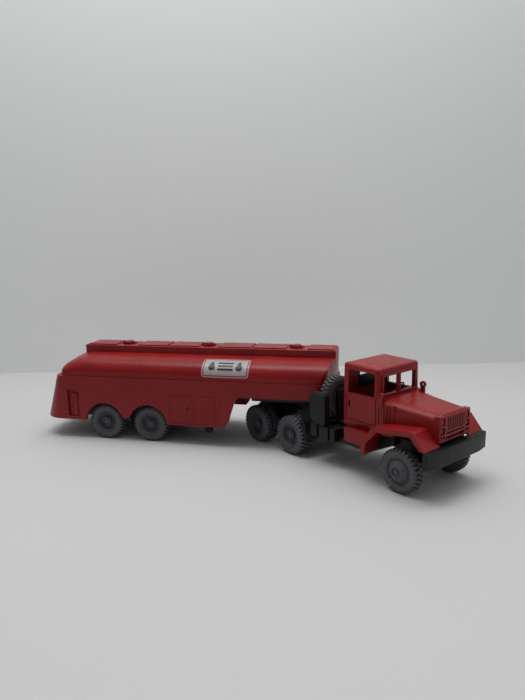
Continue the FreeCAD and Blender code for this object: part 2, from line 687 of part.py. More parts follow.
def sill():
    """Right-hand step under the door: an outer face with a sunk shelf behind it."""
    front_x = -11.6
    face_top = CAB_FLOOR_Z + 0.2
    shelf_z0 = CAB_FLOOR_Z - 1.15
    shelf = box(SILL_REAR_X, front_x, -SILL_OUTER_Y + 0.1, -CAB_HALF_WIDTH + 1.0, shelf_z0, shelf_z0 + 0.75)
    face = box(SILL_REAR_X, front_x, -SILL_OUTER_Y, -SILL_OUTER_Y + 0.8, 9.7, face_top)
    return shelf.fuse(face)


def cab_body():
    """Lower cab, cowl, hood, grille, fenders and sills in one moulding."""
    w = CAB_HALF_WIDTH
    tub = box(CAB_X0, CAB_X1, -w, w, CAB_FLOOR_Z, CAB_BELT_Z)
    tub = rounded(tub, 0.8, lambda p, d: abs(d.z) > 0.9 and p.x < CAB_X0 + 0.1)
    cowl = plan_prism([(CAB_X1, -w), (CAB_X1, w), (COWL_X0, w), (COWL_X1, COWL_HALF),
                       (COWL_X1, -COWL_HALF), (COWL_X0, -w)], CAB_FLOOR_Z, CAB_BELT_Z - 1.2)
    scuttle = box(CAB_X1, HOOD_REAR_X, -w, w, CAB_FLOOR_Z, CAB_BELT_Z)
    body = tub.fuse(cowl).fuse(scuttle).fuse(hood_block(0.0))
    cuts = cab_side_cuts()
    body = cut_all(body, cuts + [mirrored(tool) for tool in cuts])
    body = body.fuse(grille())
    for extra in (mirror_eye(), fender(), sill()):
        body = body.fuse(extra).fuse(mirrored(extra))
    body = cut_all(body, cab_hollows())
    floor_web = box(CAB_X0 + 1.1, CAB_X1 - 0.2, -w + 0.5, w - 0.5, CAB_FLOOR_Z - 0.6, CAB_FLOOR_Z + 0.3)
    return body.fuse(floor_web).removeSplitter()


def grille():
    """Radiator front: upright bars over a cross bar, and a lamp column on each side."""
    x0 = HOOD_FRONT_X - PANEL - 0.2
    x1 = HOOD_FRONT_X + 0.65
    half = HOOD_HALF_FRONT
    core_half = 4.05
    bars_z0 = 17.6
    bars_z1 = 21.15
    lamp_y = 5.6
    lamp_half = 0.85
    shell = box(x0, x1, -half, half, GRILLE_Z0, GRILLE_Z1)
    shell = rounded(shell, 0.45, lambda p, d: p.x > x1 - 0.01 and (p.z > GRILLE_Z1 - 0.1 or abs(d.z) > 0.9))
    holes = [box(x1 - 0.7, x1 + 1, -core_half, core_half, bars_z0, bars_z1)]
    for z0, z1 in ((16.75, 17.2), (15.4, 16.2)):
        holes.append(box(x1 - 0.7, x1 + 1, -core_half, core_half, z0, z1))
    for z0, z1 in ((19.3, 21.2), (16.9, 18.85)):
        holes += on_both_sides(box(x1 - 0.9, x1 + 1, lamp_y - lamp_half, lamp_y + lamp_half, z0, z1))
    for y0, y1 in ((lamp_y - lamp_half, lamp_y - 0.2), (lamp_y + 0.2, lamp_y + lamp_half)):
        holes += on_both_sides(box(x1 - 0.5, x1 + 1, y0, y1, 15.65, 16.5))
    shell = cut_all(shell, holes)
    bars = 10
    pitch = 2 * core_half / bars
    for index in range(bars):
        y = -core_half + pitch * (index + 0.5)
        bar = box(x1 - 0.8, x1 - 0.1, y - pitch * 0.25, y + pitch * 0.25, bars_z0 - 0.1, bars_z1 + 0.1)
        shell = shell.fuse(bar)
    for lamp_z, lamp_r in ((20.25, 0.75), (17.85, 0.6)):
        for lamp in on_both_sides(cylinder_x(lamp_r, x1 - 1.0, x1 - 0.25, lamp_y, lamp_z)):
            shell = shell.fuse(lamp)
    return shell


def window_pair(x0, x1):
    """The two windscreen openings, as tools with round corners."""
    outer_half = 7.0
    post_half = 0.35
    pane = box(x0, x1, post_half, outer_half, 24.2, 29.3)
    return on_both_sides(rounded(pane, 0.5, lambda p, d: abs(d.x) > 0.9))


def cab_roof():
    """Hard top: roof, rear wall, door frames and windscreen frame, all windows open."""
    x0 = CAB_X0 - 0.05
    x1 = CAB_X1 + 0.1
    z0 = CAB_BELT_Z
    roof_r = 0.85

    def ring(inset, lean, rear_z, front_z):
        w = CAB_HALF_WIDTH - 0.05 - lean * (CAB_HALF_WIDTH - ROOF_HALF_WIDTH) - inset
        a = x0 + inset
        b = x1 - inset
        corners = [Vector(a, -w, rear_z), Vector(b, -w, front_z), Vector(b, w, front_z),
                   Vector(a, w, rear_z)]
        return Part.makePolygon(corners + corners[:1])

    rear_z = CAB_ROOF_Z + ROOF_FALL
    outer = Part.makeLoft([ring(0, 0, z0, z0), ring(0, 1, rear_z, CAB_ROOF_Z)], True, True)
    outer = outer.makeFillet(roof_r, [e for e in outer.Edges if e.CenterOfMass.z > z0 + 0.1])
    inner = Part.makeLoft([ring(PANEL, 0, z0 - 1, z0 - 1),
                           ring(PANEL, 1, rear_z - PANEL, CAB_ROOF_Z - PANEL)], True, True)
    side_window = box(-20.6, -11.0, -20, 20, z0 - 1, 30.1)
    side_window = rounded(side_window, 0.5, lambda p, d: abs(d.y) > 0.9 and p.z > z0)
    rear_window = box(x0 - 1, x0 + PANEL + 0.5, -REAR_WINDOW_HALF, REAR_WINDOW_HALF,
                      REAR_WINDOW_Z0, REAR_WINDOW_Z1)
    shell = cut_all(outer.cut(inner), [side_window, rear_window] + window_pair(x1 - PANEL - 0.5, x1 + 1))
    frame = box(x1 - 0.05, x1 + 0.35, -7.7, 7.7, z0 + 0.1, 29.9)
    frame = rounded(frame, 0.9, lambda p, d: abs(d.x) > 0.9)
    return shell.fuse(cut_all(frame, window_pair(x1 - 1, x1 + 1))).removeSplitter()


def seat(x0):
    """Left-hand seat: cushion and leaning back rest."""
    y0 = 1.0
    y1 = 7.4
    cushion_top = 17.6
    back_top = 21.4
    cushion = box(x0 + 0.6, x0 + 6.2, y0, y1, CAB_FLOOR_Z + 1.0, cushion_top)
    back = side_prism([(x0 + 0.6, cushion_top - 0.1), (x0 + 2.4, cushion_top - 0.1), (x0 + 1.7, back_top),
                       (x0 + 0.6, back_top)], y0, y1)
    return fused([cushion, back])


def rear_blind():
    """Black pane that snaps into the rear window from inside and leaves a slit above it."""
    inner_x = CAB_X0 - 0.05 + PANEL
    half = REAR_WINDOW_HALF - 0.05
    z0 = REAR_WINDOW_Z0 + 0.05
    top = REAR_WINDOW_Z1 - 1.1
    pane = box(inner_x - 0.5, inner_x + 0.1, -half, half, z0, top)
    flange = box(inner_x, inner_x + 0.35, -half - 0.5, half + 0.5, z0, top)
    return fused([pane, flange])


def cab_interior():
    """Floor, two seats and dash, with a stalk for the steering wheel."""
    inside_w = CAB_HALF_WIDTH - PANEL
    x0 = CAB_X0 + PANEL
    x1 = CAB_X1 - 0.2
    floor = box(x0, x1, -inside_w, inside_w, CAB_FLOOR_Z + 0.3, CAB_FLOOR_Z + 1.1)
    dash = box(x1 - 1.2, x1, -inside_w + 0.2, inside_w - 0.2, CAB_FLOOR_Z + 1.0, 22.4)
    column = Part.makeCylinder(0.35, COLUMN_LENGTH, COLUMN_FOOT, COLUMN_LEAN)
    return fused([floor, dash, column] + on_both_sides(seat(x0)))


def steering_wheel():
    """Thin rim with three spokes and a hub, sitting on the column's end."""
    rim_r = 2.05
    spokes = 3
    body = Part.makeTorus(rim_r, 0.22).fuse(Part.makeCylinder(0.55, 0.5))
    for step in range(spokes):
        spoke = box(0.3, rim_r, -0.16, 0.16, 0.0, 0.25)
        spoke.rotate(Vector(0, 0, 0), Vector(0, 0, 1), 90 + 360 / spokes * step)
        body = body.fuse(spoke)
    body = body.removeSplitter()
    lean = math.degrees(math.atan2(-COLUMN_LEAN.x, COLUMN_LEAN.z))
    body.rotate(Vector(0, 0, 0), Vector(0, 1, 0), -lean)
    body.translate(COLUMN_FOOT + COLUMN_LEAN * (COLUMN_LENGTH / COLUMN_LEAN.Length))
    return body


def chassis_frame():
    """Two rails with cross members and deck, step frames, engine underside and approach ramps."""
    ramp_end_x = -66.7
    ramp_top = DECK_RISE_Z + 0.1
    ramp = side_prism([(ramp_end_x, 9.6), (-62.0, RAIL_Z1 - 0.1), (-59.0, ramp_top), (-59.0, RAIL_Z0),
                       (ramp_end_x, RAIL_Z0)], RAIL_Y0, DECK_HALF_WIDTH)
    gusset = side_prism([(-15.0, 5.9), (-5.8, 10.4), (-5.8, CAB_FLOOR_Z - 0.7), (-15.0, CAB_FLOOR_Z - 0.7)],
                        RAIL_Y0, HOOD_HALF_FRONT - 0.4)
    parts = on_both_sides(box(FRAME_REAR_X, FRAME_FRONT_X, RAIL_Y0, RAIL_Y1, RAIL_Z0, RAIL_Z1))
    parts += on_both_sides(ramp) + on_both_sides(gusset)
    parts += on_both_sides(box(-60.0, -43.0, RAIL_Y1 - 0.1, DECK_HALF_WIDTH, RAIL_Z0 + 0.02, RAIL_Z1))
    for x in (-64.4, -24.0, 2.6, 6.4):
        parts.append(box(x - 0.6, x + 0.6, -RAIL_Y1, RAIL_Y1, RAIL_Z0 + 0.5, RAIL_Z1))
    blocks = [
        (-65.8, -23.0, DECK_HALF_WIDTH, 10.4, RAIL_Z1),          # deck between and over the rails
        (-62.5, -53.6, DECK_HALF_WIDTH - 0.3, RAIL_Z1, DECK_RISE_Z),
        (-45.2, -34.4, DECK_HALF_WIDTH - 0.3, RAIL_Z1, 14.2),
        (-34.0, -23.0, 7.0, RAIL_Z1 - 0.1, RAIL_Z1 + 0.6),
        (-22.4, -12.4, SILL_OUTER_Y - 1.3, 8.0, 9.45),           # step frame under the cab
        (-22.4, -12.4, CAB_HALF_WIDTH - 0.2, 9.4, 12.2),
        (-8.6, 4.4, RAIL_Y0, 9.6, 14.6),                         # engine
        (5.2, 6.7, HOOD_HALF_FRONT + 0.6, RAIL_Z1 - 0.1, GRILLE_Z0 - 0.4),   # radiator foot
    ]
    for x0, x1, half, z0, z1 in blocks:
        parts.append(box(x0, x1, -half, half, z0, z1))
    return fused(parts)


def mud_guards():
    """Curved splash sheet ahead of each middle wheel, with a bracket to the deck."""
    path = [(-37.2, 14.9), (-36.1, 13.2), (-34.9, 11.6), (-34.15, 8.7), (-33.85, 5.8)]
    inner_y = 7.2

    def side_curve(shift):
        curve = Part.BSplineCurve()
        curve.interpolate([Vector(x + shift, inner_y, z) for x, z in path])
        return curve.toShape()

    back = side_curve(-MUD_GUARD_SHEET / 2)
    front = side_curve(MUD_GUARD_SHEET / 2)
    ends = [line(back.Vertexes[index].Point, front.Vertexes[index].Point) for index in (0, 1)]
    face = Part.Face(Part.Wire(Part.__sortEdges__([back, front] + ends)))
    sheet = face.extrude(Vector(0, MUD_GUARD_OUTER_Y - inner_y, 0))
    bracket = box(-35.6, -34.5, DECK_HALF_WIDTH, inner_y + 0.6, 10.9, 11.9)
    return Part.makeCompound(on_both_sides(sheet.fuse(bracket).removeSplitter()))


def axle_casing(x, half_length, spring_y, spring_half, radius):
    """Axle tube with a differential bulge and a leaf spring pack on each side, bored for the shaft."""
    bulge_r = 2.35
    leaf = 0.55
    leaves = 3
    spring_half_width = 1.1
    bulge = Part.makeSphere(bulge_r, Vector(x, 0, radius))
    parts = [cylinder_y(1.5, -half_length, half_length, x, radius),
             bulge.common(box(x - 3, x + 3, -2.6, 2.6, radius - bulge_r, radius + bulge_r - 0.05))]
    y0 = spring_y - spring_half_width
    y1 = spring_y + spring_half_width
    for index in range(leaves):
        reach = spring_half - 1.5 * index
        top = RAIL_Z0 - leaf * index
        parts += on_both_sides(box(x - reach, x + reach, y0, y1, top - leaf - 0.01, top))
    parts += on_both_sides(box(x - 0.9, x + 0.9, y0, y1, radius, RAIL_Z0 - 1.5))
    return fused(parts).cut(cylinder_y(SHAFT_R + RUNNING_CLEARANCE, -20, 20, x, radius))


def fifth_wheel():
    """Coupling plate on its pedestal, with the round kingpin hole."""
    x = -FRONT_AXLE_TO_KINGPIN
    top = FIFTH_WHEEL_TOP_Z
    sheet = 1.1
    plate = cylinder_z(7.0, top - sheet, top, x, 0).common(box(x - 6.4, x + 5.2, -6.4, 6.4, 0, 30))
    tail = side_prism([(x - 6.3, top - sheet), (x - 6.3, top), (x - 9.0, top - 1.6), (x - 9.0, top - 2.1)],
                      2.2, 5.2)
    pedestal = box(x - 4.0, x + 4.0, -RAIL_Y1, RAIL_Y1, RAIL_Z1, top - 1.0)
    saddle = box(x - 6.3, x - 3.9, -RAIL_Y1, RAIL_Y1, DECK_RISE_Z + 0.02, top - 1.0)
    body = fused([plate, pedestal, saddle] + on_both_sides(tail))
    return body.cut(cylinder_z(KINGPIN_R + RUNNING_CLEARANCE, 5, 25, x, 0))


def spare_wheel():
    """Upright spare wheel behind the cab, axis along x, dished face to the rear."""
    body = wheel(SPARE_R, SPARE_WIDTH, 1, 0.0, 1.2, 3.4, -0.5)
    body.rotate(Vector(0, 0, 0), Vector(0, 0, 1), -90)
    body.translate(Vector(SPARE_REAR_X, SPARE_Y, SPARE_Z))
    return body


def spare_carrier():
    """Upright plate behind the cab that the spare wheel hangs on."""
    x0 = SPARE_REAR_X + SPARE_WIDTH
    x1 = x0 + 1.2
    y0 = SPARE_Y - 1.9
    y1 = SPARE_Y + 2.4
    foot_z = RAIL_Z1 + 0.6
    plate = box(x0 + 0.02, x1, y0, y1, foot_z, SPARE_Z + 2.4)
    foot = box(x0 - 2.0, x1, y0, y1, foot_z, foot_z + 0.6)
    stub = cylinder_x(SHAFT_R - 0.02, x0 - 1.1, x0 + 0.1, SPARE_Y, SPARE_Z)
    return fused([plate, stub, foot])


def tall_box():
    """Tall locker at the right-hand rear corner of the cab, with a narrow side pocket, a lid and a foot."""
    x0 = -31.7
    x1 = -26.0
    y0 = -13.5
    y1 = -11.2
    z0 = 13.2
    z1 = 21.8
    body = rounded(box(x0, x1, y0, y1, z0, z1), 0.3, lambda p, d: True)
    pocket = box(x0 - 0.7, x0 + 0.2, y0 + 0.2, y1 - 0.2, z0 + 1.3, z1 - 0.7)
    lid = box(x0 + 0.4, x1 - 0.4, y0 + 0.3, y1 - 0.2, z1 - 0.1, z1 + 0.3)
    foot = box(x0 + 0.7, x1 - 0.6, y0 + 0.5, -7.0, RAIL_Z1 + 0.1, z0 + 0.1)
    return fused([body, lid, foot, pocket])


def step_boxes():
    """Row of three low boxes hanging from the right-hand side of the frame."""
    y0 = -12.9
    y1 = -9.9
    spans = ((-32.6, -29.8), (-29.1, -25.2), (-24.6, -22.6))
    parts = [rounded(box(x0, x1, y0, y1, 8.2, 12.2), 0.3, lambda p, d: p.y < y0 + 0.1) for x0, x1 in spans]
    back = box(spans[0][0], spans[-1][1], y1 - 0.3, -DECK_HALF_WIDTH, 9.2, 11.9)
    return fused(parts + [back])


def fuel_tank():
    """Drum tank with two straps and a filler neck, left-hand side."""
    drum_r = 2.9
    y = 10.2
    z = 11.0
    parts = [cylinder_x(drum_r, -32.0, -23.6, y, z)]
    for x in (-30.2, -26.2):
        parts.append(cylinder_x(drum_r + 0.15, x, x + 0.8, y, z))
    parts.append(box(-31.0, -24.6, DECK_HALF_WIDTH, y - 1.2, z - 1.2, z + 1.0))
    parts.append(cylinder_z(0.7, z + 2.4, z + 3.5, -28.0, y))
    return fused(parts)


def front_bumper():
    """Thick plate bumper, hollow behind, with a rounded top edge and slightly swept tips."""
    x1 = BUMPER_FRONT_X
    tip_y = BUMPER_HALF_WIDTH
    bend_y = tip_y - 4.1
    sweep = 0.7
    back_x = x1 - 2.4
    sheet = 0.6
    body = plan_prism([(x1, -bend_y), (x1, bend_y), (x1 - sweep, tip_y), (back_x, tip_y),
                       (back_x, -tip_y), (x1 - sweep, -tip_y)], BUMPER_Z0, BUMPER_Z1)
    body = rounded(body, 0.25, lambda p, d: p.x > x1 - sweep - 0.01 and abs(d.y) > 0.9)
    core = box(back_x - 1, x1 - sweep - sheet, -tip_y + sheet, tip_y - sheet,
               BUMPER_Z0 + sheet, BUMPER_Z1 - sheet)
    horn = box(FRAME_FRONT_X, x1 - sweep - sheet + 0.05, RAIL_Y0, RAIL_Y1, RAIL_Z0, RAIL_Z1)
    return fused([body.cut(core)] + on_both_sides(horn))


# ------------------------------------------------------------------ placing and writing
def on_trailer(shape):
    body = shape.copy()
    body.translate(Vector(-TRAILER_AXLE_TO_KINGPIN, 0, 0))
    return body


def on_tractor(shape):
    body = shape.copy()
    body.translate(Vector(FRONT_AXLE_TO_KINGPIN, 0, 0))
    body.rotate(Vector(0, 0, 0), Vector(0, 0, 1), HEADING_AT_REST)
    return body


def trailer_nodes():
    dual = wheel(TRAILER_TYRE_R, TRAILER_DUAL_WIDTH, 2, TRAILER_TRACK_OUTER, DUAL_BORE_DEPTH, 3.5, -1.0)
    nodes = {
        "tank_shell": tank_shell(),
        "catwalk_box": catwalk_box(),
        "manhole_lids": manhole_lids(),
        "skirt_body": skirt_body(),
        "trailer_chassis": trailer_chassis(),
        "rubbing_plate": rubbing_plate(),
        "kingpin": kingpin(),
        "landing_gear": landing_gear(),
    }
    half_shaft = TRAILER_TRACK_OUTER - TRAILER_DUAL_WIDTH + DUAL_BORE_DEPTH
    for name, x in (("rear", 0.0), ("front", TRAILER_AXLE_SPACING)):
        nodes["trailer_%s_shaft" % name] = shaft(x, TRAILER_TYRE_R, half_shaft)
        for side_name, side in (("right", -1), ("left", 1)):
            node = "trailer_%s_wheel_%s" % (name, side_name)
            nodes[node] = placed_wheel(dual, x, TRAILER_TYRE_R, side)
    return nodes


def tractor_nodes():
    rim_r = 3.4
    single = wheel(TRACTOR_TYRE_R, FRONT_TYRE_WIDTH, 1, FRONT_TRACK_OUTER, SINGLE_BORE_DEPTH, rim_r,
                   FRONT_HUB_RISE)
    dual = wheel(TRACTOR_TYRE_R, REAR_DUAL_WIDTH, 2, REAR_TRACK_OUTER, DUAL_BORE_DEPTH, rim_r, -1.3)
    nodes = {
        "cab_body": cab_body(),
        "cab_roof": cab_roof(),
        "cab_interior": cab_interior(),
        "rear_blind": rear_blind(),
        "steering_wheel": steering_wheel(),
        "chassis_frame": chassis_frame(),
        "mud_guards": mud_guards(),
        "front_bumper": front_bumper(),
        "front_axle_casing": axle_casing(0.0, 8.6, 4.1, 6.6, TRACTOR_TYRE_R),
        "mid_axle_casing": axle_casing(MID_AXLE_X, 7.6, 5.9, 6.4, TRACTOR_TYRE_R),
        "rear_axle_casing": axle_casing(REAR_AXLE_X, 7.6, 5.9, 6.4, TRACTOR_TYRE_R),
        "fifth_wheel": fifth_wheel(),
        "spare_wheel": spare_wheel(),
        "spare_carrier": spare_carrier(),
        "tall_box": tall_box(),
        "step_boxes": step_boxes(),
        "fuel_tank": fuel_tank(),
    }
    front_half = FRONT_TRACK_OUTER - FRONT_TYRE_WIDTH + SINGLE_BORE_DEPTH
    rear_half = REAR_TRACK_OUTER - REAR_DUAL_WIDTH + DUAL_BORE_DEPTH
    axles = (("front", 0.0, single, front_half), ("mid", MID_AXLE_X, dual, rear_half),
             ("rear", REAR_AXLE_X, dual, rear_half))
    for name, x, shape, half_shaft in axles:
        nodes["%s_shaft" % name] = shaft(x, TRACTOR_TYRE_R, half_shaft)
        for side_name, side in (("right", -1), ("left", 1)):
            nodes["%s_wheel_%s" % (name, side_name)] = placed_wheel(shape, x, TRACTOR_TYRE_R, side)
    return nodes


def write_parts():
    os.makedirs("parts", exist_ok=True)
    for name, shape in trailer_nodes().items():
        on_trailer(shape).exportStep(os.path.join("parts", name + ".step"))
    for name, shape in tractor_nodes().items():
        on_tractor(shape).exportStep(os.path.join("parts", name + ".step"))


write_parts()
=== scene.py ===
import json
import math

import bmesh
import bpy
from mathutils import Matrix, Vector


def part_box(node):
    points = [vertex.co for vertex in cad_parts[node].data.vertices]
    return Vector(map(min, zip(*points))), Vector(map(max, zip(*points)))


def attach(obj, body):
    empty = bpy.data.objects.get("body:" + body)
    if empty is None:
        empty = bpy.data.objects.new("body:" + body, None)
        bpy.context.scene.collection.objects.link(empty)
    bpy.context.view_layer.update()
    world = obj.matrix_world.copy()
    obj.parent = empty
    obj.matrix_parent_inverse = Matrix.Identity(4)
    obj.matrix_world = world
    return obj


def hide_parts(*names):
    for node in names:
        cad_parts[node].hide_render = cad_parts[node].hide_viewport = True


# Looks of a moulded plastic toy tanker: red tank trailer and tractor, black running gear.
# The scene is in metres.  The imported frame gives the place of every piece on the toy.

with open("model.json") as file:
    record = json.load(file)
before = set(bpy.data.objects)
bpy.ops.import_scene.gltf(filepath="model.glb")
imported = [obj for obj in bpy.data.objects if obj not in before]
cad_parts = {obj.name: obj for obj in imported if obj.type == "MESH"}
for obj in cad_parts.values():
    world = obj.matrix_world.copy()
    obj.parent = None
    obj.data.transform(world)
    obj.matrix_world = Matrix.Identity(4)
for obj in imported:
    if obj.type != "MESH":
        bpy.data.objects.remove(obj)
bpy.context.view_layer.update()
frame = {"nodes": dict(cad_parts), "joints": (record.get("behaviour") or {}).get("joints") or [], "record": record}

MM = 0.001
UP = Vector((0, 0, 1))

# ---- moulded edges of the CAD nodes
EDGE_ROUND = 0.10 * MM
WELD_DISTANCE = 0.0015 * MM
EDGE_ANGLE = math.radians(32)

# ---- plastic and paint
WEAR_REACH = 0.12 * MM          # how far wear spreads from an edge
WEAR_SHARE = 0.22
SCUFF_SHARE = 0.10
PAINTED_SHADE_REACH = 0.9 * MM           # how far the painted shade of a corner reaches over its faces
PAINTED_SHADE_SHARE = 0.12
PEEL_HEIGHT = 0.02 * MM
GRAIN_HEIGHT = 0.004 * MM

# ---- wheels, millimetres
LUGS = 30
LUG_DEPTH = 0.50
LUG_PROFILE = (                 # round one lug pitch: share of the pitch, and 1 in the groove
    (0.00, 1), (0.07, 0), (0.31, 0), (0.55, 0), (0.62, 1), (0.81, 1),
)
DUAL_GAP = 0.35                 # between the two tyres of a dual wheel
DUAL_WIDTH = 0.7                # a wheel wider than this share of its radius is dual
TREAD_SHARE = 0.8               # a tyre's faces lie beyond this share of its radius
RIM_SHARE = 0.58                # rim radius against tyre radius
RIM_LIP = 0.05                  # how far the disc reaches into the tyre's bead
RIM_DEPTH = 0.30
DISC_SEGMENTS = 72
HUB_R = 1.45
NUTS = 6
NUT_CIRCLE_R = 2.05
NUT_R = 0.22
NUT_HEIGHT = 0.25
NUT_CHAMFER = 0.05
ROLL_STEP = 0.37                # radians between the rolls of one wheel and the next
SPARE_ROLL = 0.2
HUB_STYLE = {                   # shape, depth of the hub's face and depth of the disc's floor
    "front_axle": ("domed", -0.8, 0.4),
    "mid_axle": ("dished", 0.65, 1.75),
    "rear_axle": ("dished", 0.65, 1.75),
    "trailer_front_axle": ("dished", 0.55, 1.75),
    "trailer_rear_axle": ("dished", 0.55, 1.75),
}
SPARE_STYLE = ("dished", 0.5, 1.2)

# ---- sign on the tank side, millimetres
SIGN_WIDTH, SIGN_HEIGHT = 15.9, 7.9
SIGN_MIDDLE_X = -23.2           # along the trailer
SIGN_RISE = 5.2                 # middle of the sign above the tank's foot, measured over the curve
SIGN_THICKNESS = 0.05
SIGN_CORNER = 1.1
BAND_INSET, BAND_CORNER = 0.35, 0.85
FIELD_INSET, FIELD_CORNER = 0.75, 0.6
SIGN_COLUMNS = 24
INK_THICKNESS = 0.03
DROP_CENTRES = ((-4.6, -0.55), (4.6, -0.55))
DROP_RADIUS = 1.15
DROP_HEIGHT = 2.9
DROP_SHOULDER = 0.35            # share of the radius above its centre where the round end stops
DROP_ROWS = 22
BAR_LEVELS = (1.25, 0.0, -1.25)
BAR_HALF_WIDTH, BAR_HALF_HEIGHT, BAR_CORNER = 2.6, 0.36, 0.3
PROBE_STEPS = 90
PROBE_ANGLE = math.radians(80.0)
PROBE_DISTANCE = 40 * MM

# ---- viewpoint, backdrop and lights
VIEW_PLACE = Vector((33.1, -188.5, 67.4)) * MM
VIEW_LOOK = Vector((-0.2371, 0.9531, -0.1881))
VIEW_LEAN = math.radians(-1.18)
VIEW_SENSOR = 36.0
VIEW_LENS = 29.98
BACKDROP_DISTANCE = 0.296       # from the camera's foot, over the table
BACKDROP_TOP = 0.20
BACKDROP_BEND = 0.0016          # radius of the crease between table and wall
BACKDROP_BEND_STEPS = 8
BACKDROP_HALF_WIDTH = 1.2
TABLE_NEAR_END = -0.6           # behind the camera's foot
WORLD_LIGHT = 1.00              # full strength of the sky, reached high up and behind the toy
WORLD_FRONT_SHARE = 0.21        # strength of the sky on the camera's side
LIGHTS = (                      # name, place, target, size, power, colour
    ("ceiling", (-0.03, 0.02, 0.42), (-0.02, 0.0, 0.0), (0.50, 0.26), 0.66, (1.0, 0.995, 0.98)),
    ("wall_wash", (-0.03, -0.02, 0.40), (-0.09, 0.12, 0.16), (0.30, 0.06), 0.50, (0.97, 0.99, 1.0)),
    ("side_glow", (0.34, -0.08, 0.30), (0.0, 0.0, 0.01), (0.25, 0.25), 0.05, (0.96, 0.98, 1.0)),
)


# ------------------------------------------------------------------ shader helpers
class Graph:
    """A node material, or the sky's node tree, under construction."""

    def __init__(self, name, tree=None):
        if tree is None:
            self.material = bpy.data.materials.new(name)
            self.material.use_nodes = True
            tree = self.material.node_tree
        self.tree = tree
        self.tree.nodes.clear()

    def add(self, kind, inputs=None, **settings):
        node = self.tree.nodes.new(kind)
        for key, value in settings.items():
            setattr(node, key, value)
        for key, value in (inputs or {}).items():
            if isinstance(value, bpy.types.NodeSocket):
                self.tree.links.new(value, node.inputs[key])
            else:
                node.inputs[key].default_value = value
        return node

    def place(self):
        return self.add("ShaderNodeTexCoord").outputs["Object"]

    def noise(self, scale, detail=3.0, roughness=0.55):
        node = self.add("ShaderNodeTexNoise", {"Vector": self.place(), "Scale": scale,
                                               "Detail": detail, "Roughness": roughness})
        return node.outputs["Fac"]

    def ramp(self, value, low, high, from_value=0.0, to_value=1.0):
        node = self.add("ShaderNodeMapRange", {"Value": value, "From Min": low, "From Max": high,
                                               "To Min": from_value, "To Max": to_value})
        return node.outputs["Result"]

    def mix(self, share, first, second):
        node = self.add("ShaderNodeMix", {0: share}, data_type="RGBA")
        for index, value in ((6, first), (7, second)):
            if isinstance(value, bpy.types.NodeSocket):
                self.tree.links.new(value, node.inputs[index])
            else:
                node.inputs[index].default_value = (*value, 1.0)
        return node.outputs[2]

    def math(self, operation, first, second):
        node = self.add("ShaderNodeMath", {0: first, 1: second}, operation=operation)
        return node.outputs[0]

    def edge_mask(self, radius, low, high):
        """1 along convex and concave edges, 0 on open faces."""
        soft = self.add("ShaderNodeBevel", {"Radius": radius}, samples=6).outputs["Normal"]
        sharp = self.add("ShaderNodeNewGeometry").outputs["Normal"]
        dot = self.add("ShaderNodeVectorMath", {0: soft, 1: sharp}, operation="DOT_PRODUCT")
        return self.ramp(dot.outputs["Value"], high, low)

    # painted shade: 1 where ambient occlusion finds corners and creases
    def crevice_mask(self, distance):
        node = self.add("ShaderNodeAmbientOcclusion", {"Distance": distance}, samples=8)
        return self.ramp(node.outputs["AO"], 0.85, 0.25)

    def bump(self, height, distance, normal=None):
        inputs = {"Height": height, "Distance": distance, "Strength": 1.0}
        if normal is not None:
            inputs["Normal"] = normal
        return self.add("ShaderNodeBump", inputs).outputs["Normal"]

    def finish(self, inputs):
        self.shader = self.add("ShaderNodeBsdfPrincipled", inputs)
        self.output = self.add("ShaderNodeOutputMaterial")
        self.tree.links.new(self.shader.outputs["BSDF"], self.output.inputs["Surface"])
        return self.material

    def hide_where(self, share):
        """Lets the finished surface vanish where share is 1."""
        clear = self.add("ShaderNodeBsdfTransparent").outputs["BSDF"]
        mixed = self.add("ShaderNodeMixShader", {0: share, 1: self.shader.outputs["BSDF"], 2: clear})
        self.tree.links.new(mixed.outputs["Shader"], self.output.inputs["Surface"])
        return self.material


def moulded_plastic(name, dark, light, worn, roughness, peel):
    """Injection-moulded plastic: cloudy colour, orange peel, fine grain, rubbed edges, painted shade in corners.
    """
    graph = Graph(name)
    clouds = graph.noise(70.0, 4.0)
    flow = graph.noise(420.0, 3.0)
    grain = graph.noise(5200.0, 2.0)
    scuffs = graph.ramp(graph.noise(1500.0, 6.0, 0.75), 0.62, 0.72)
    colour = graph.mix(graph.ramp(clouds, 0.35, 0.65), dark, light)
    edges = graph.edge_mask(WEAR_REACH, 0.80, 0.99)
    # painted shade: the colour is darkened in corners and creases, where ambient occlusion finds them
    corners = graph.crevice_mask(PAINTED_SHADE_REACH)
    painted_shade_colour = tuple(channel * 0.45 for channel in dark)
    colour = graph.mix(graph.math("MULTIPLY", edges, WEAR_SHARE), colour, worn)
    colour = graph.mix(graph.math("MULTIPLY", scuffs, SCUFF_SHARE), colour, worn)
    colour = graph.mix(graph.math("MULTIPLY", corners, PAINTED_SHADE_SHARE), colour, painted_shade_colour)
    gloss = graph.ramp(flow, 0.3, 0.7, roughness - 0.05, roughness + 0.07)
    gloss = graph.math("ADD", gloss, graph.math("MULTIPLY", scuffs, 0.12))
    normal = graph.bump(flow, PEEL_HEIGHT * peel)
    normal = graph.bump(grain, GRAIN_HEIGHT * peel, normal)
    return graph.finish({"Base Color": colour, "Roughness": gloss, "Normal": normal,
                         "IOR": 1.49, "Specular IOR Level": 0.30})


def printed_film(name, colour, faded):
    """Ink on a thin carrier film: even colour with faint fading and a soft sheen."""
    graph = Graph(name)
    fade = graph.noise(260.0, 4.0)
    speck = graph.ramp(graph.noise(3800.0, 2.0), 0.66, 0.74)
    tone = graph.mix(graph.ramp(fade, 0.35, 0.7), colour, faded)
    tone = graph.mix(graph.math("MULTIPLY", speck, 0.25), tone, faded)
    gloss = graph.ramp(fade, 0.3, 0.7, 0.30, 0.42)
    normal = graph.bump(graph.noise(900.0, 2.0), 0.006 * MM)
    return graph.finish({"Base Color": tone, "Roughness": gloss, "Normal": normal})


